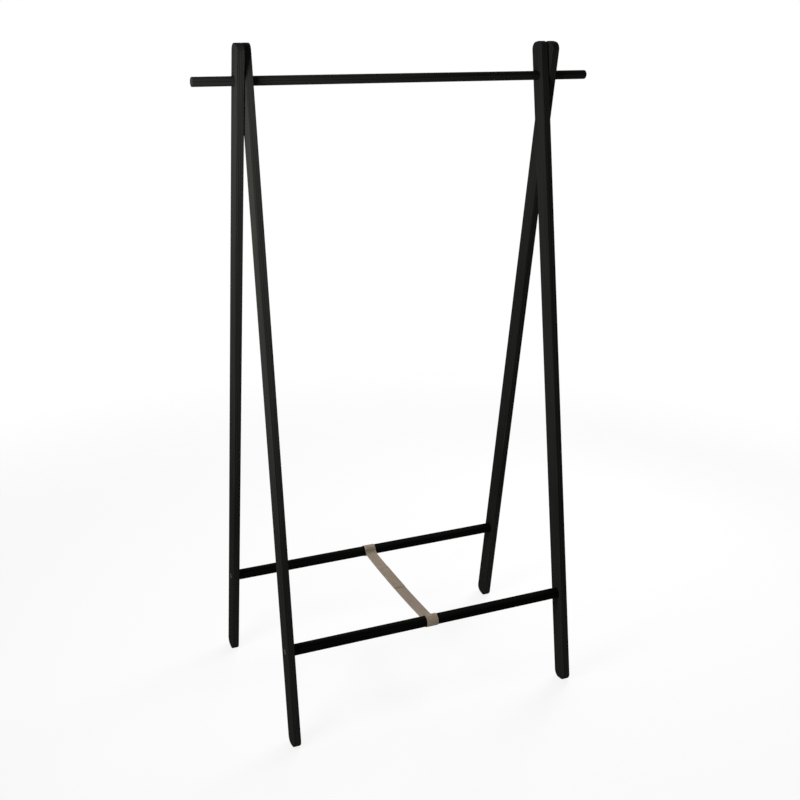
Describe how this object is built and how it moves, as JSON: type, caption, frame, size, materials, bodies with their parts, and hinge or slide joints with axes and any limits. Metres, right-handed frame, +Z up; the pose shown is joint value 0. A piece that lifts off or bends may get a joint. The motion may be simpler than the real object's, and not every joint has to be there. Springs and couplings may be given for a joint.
{
  "type": "folding coat stand",
  "caption": "Folding A-frame coat stand in black-stained wood: hinged leg frames cross at a round hanging rail, and a webbing strap between the low stretchers limits how far they open.",
  "frame": {"origin": "on the floor, midway between the feet and under the middle of the hanging rail", "axes": "+X along the hanging rail, -Y towards the front frame's feet, +Z up"},
  "size_m": [0.92, 0.4832, 1.5001],
  "materials": {
    "leg_wood": "black stain, satin lacquer, grain showing",
    "rail_wood": "black stain, satin lacquer",
    "stretcher_wood": "black stain, satin lacquer",
    "pin_wood": "black stain, end grain",
    "strap_webbing": "woven taupe webbing, sewn with matching thread",
    "washer_fibre": "matt black",
    "bolt_steel": "black oxide",
    "insert_brass": "turned"
  },
  "bodies": {
    "back_frame": {"hanging_rail": "rail_wood", "back_left_leg": "leg_wood", "back_right_leg": "leg_wood", "back_stretcher": "stretcher_wood", "left_pivot_washer": "washer_fibre", "right_pivot_washer": "washer_fibre", "left_rail_pin": "pin_wood", "right_rail_pin": "pin_wood", "back_left_bolt": "bolt_steel", "back_right_bolt": "bolt_steel", "back_left_insert": "insert_brass", "back_right_insert": "insert_brass", "strap": "strap_webbing"},
    "front_frame": {"front_left_leg": "leg_wood", "front_right_leg": "leg_wood", "front_stretcher": "stretcher_wood", "front_left_bolt": "bolt_steel", "front_right_bolt": "bolt_steel", "front_left_insert": "insert_brass", "front_right_insert": "insert_brass"}
  },
  "joints": [
    {"name": "fold", "type": "hinge", "parent": "back_frame", "child": "front_frame", "pos_m": [0, 0, 1.425], "axis": [1, 0, 0], "range_deg": [0, 16.2], "deforming": ["strap"]}
  ]
}
